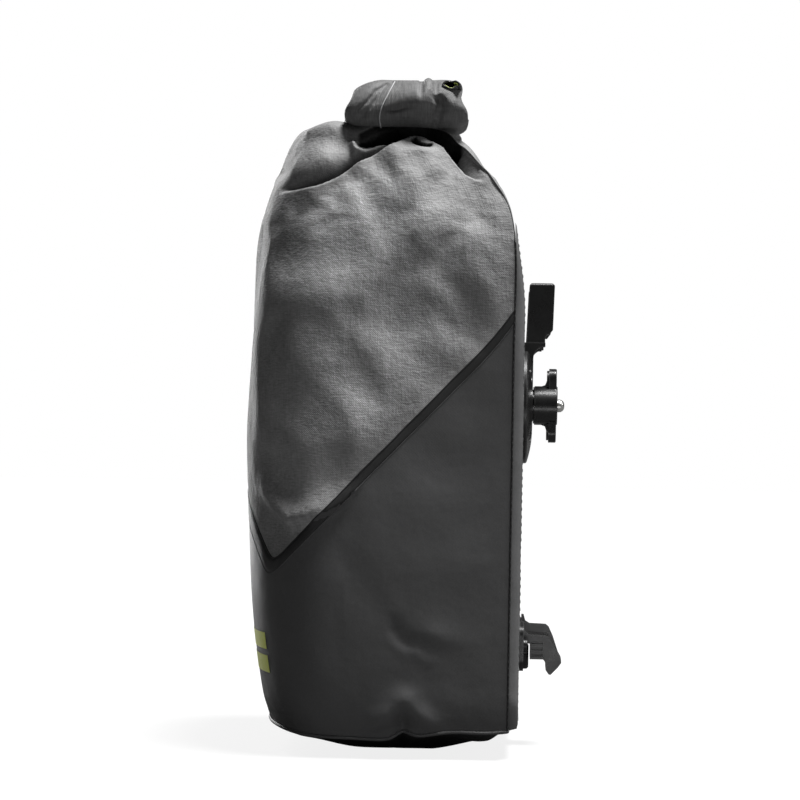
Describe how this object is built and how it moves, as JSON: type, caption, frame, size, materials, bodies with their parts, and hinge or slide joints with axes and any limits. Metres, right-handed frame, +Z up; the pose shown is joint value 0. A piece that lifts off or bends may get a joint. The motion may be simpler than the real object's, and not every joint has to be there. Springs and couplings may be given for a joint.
{
  "type": "pannier bag",
  "caption": "Roll-top bicycle pannier bag with a flat board back, rail hooks with wing lock knobs, a webbing carry handle and a lower claw.",
  "frame": {"origin": "middle of the bounding box, on the surface that the bag stands on", "axes": "+X along the bicycle, +Y towards the rack, +Z up"},
  "size_m": [0.2529, 0.2065, 0.422],
  "materials": {
    "upper_fabric": "woven polyester, heathered mid grey",
    "lower_fabric": "coated fabric, near black, smooth",
    "back_fabric": "fabric-covered board, dark grey",
    "sheet_plastic": "plain moulded sheet",
    "hardware": "satin black moulding",
    "knob_plastic": "satin black moulding",
    "buckle_plastic": "moulded acetal",
    "steel": "zinc plated",
    "brass": "turned",
    "webbing": "woven webbing, black",
    "rubber": "moulded rubber"
  },
  "bodies": {
    "bag": {"upper_shell": "upper_fabric", "lower_shell": "lower_fabric", "base_panel": "lower_fabric", "back_board": "back_fabric", "stiffener_sheet": "sheet_plastic", "roll_top": "upper_fabric", "lip_stiffener": "sheet_plastic", "webbing_left": "webbing", "webbing_right": "webbing", "buckle_socket": "buckle_plastic", "hook_plate_screws": "steel", "hook_plate_nuts": "steel", "anchor_pins": "steel", "anchor_screws": "steel", "handle_strap": "webbing", "claw_screws": "steel", "claw_nuts": "steel", "hook_plate_left": "hardware", "stud_left": "steel", "stud_washer_left": "steel", "handle_anchor_left": "hardware", "hook_plate_right": "hardware", "stud_right": "steel", "stud_washer_right": "steel", "handle_anchor_right": "hardware"},
    "washer_left": {"thrust_washer_left": "steel"},
    "knob_left": {"lock_knob_left": "knob_plastic", "knob_insert_left": "brass"},
    "washer_right": {"thrust_washer_right": "steel"},
    "knob_right": {"lock_knob_right": "knob_plastic", "knob_insert_right": "brass"},
    "claw": {"lower_claw": "hardware", "claw_bumper": "rubber"},
    "buckle_male": {"buckle_tongue": "buckle_plastic"},
    "prong_front": {"buckle_prong_front": "buckle_plastic"},
    "prong_back": {"buckle_prong_back": "buckle_plastic"}
  },
  "joints": [
    {"name": "knob_travel_left", "type": "slide", "parent": "bag", "child": "washer_left", "axis": [0, 1, 0], "range_m": [0, 0.00219]},
    {"name": "knob_turn_left", "type": "hinge", "parent": "washer_left", "child": "knob_left", "pos_m": [-0.06, 0.09, 0.22], "axis": [0, 1, 0], "range_deg": [0, 630]},
    {"name": "knob_travel_right", "type": "slide", "parent": "bag", "child": "washer_right", "axis": [0, 1, 0], "range_m": [0, 0.00219]},
    {"name": "knob_turn_right", "type": "hinge", "parent": "washer_right", "child": "knob_right", "pos_m": [0.06, 0.09, 0.22], "axis": [0, 1, 0], "range_deg": [0, 630]},
    {"name": "claw_slide", "type": "slide", "parent": "bag", "child": "claw", "axis": [1, 0, 0], "range_m": [-0.008, 0.008]},
    {"name": "buckle_release", "type": "slide", "parent": "bag", "child": "buckle_male", "axis": [1, 0, 0], "range_m": [0, 0.027], "deforming": ["webbing_right", "buckle_prong_front", "buckle_prong_back"]},
    {"name": "prong_squeeze_front", "type": "hinge", "parent": "buckle_male", "child": "prong_front", "pos_m": [0.0052, -0.0142, 0.41575], "axis": [0, 0, -1], "range_deg": [0, 8], "stiffness_Nm_per_rad": 0.02},
    {"name": "prong_squeeze_back", "type": "hinge", "parent": "buckle_male", "child": "prong_back", "pos_m": [0.0052, 0.0062, 0.41575], "axis": [0, 0, 1], "range_deg": [0, 8], "stiffness_Nm_per_rad": 0.02}
  ],
  "couplings": [
    {"joint": "knob_turn_left", "follows": "knob_travel_left", "rad_per_m": 5026.5},
    {"joint": "knob_turn_right", "follows": "knob_travel_right", "rad_per_m": 5026.5},
    {"joint": "prong_squeeze_back", "follows": "prong_squeeze_front", "ratio": 1}
  ]
}
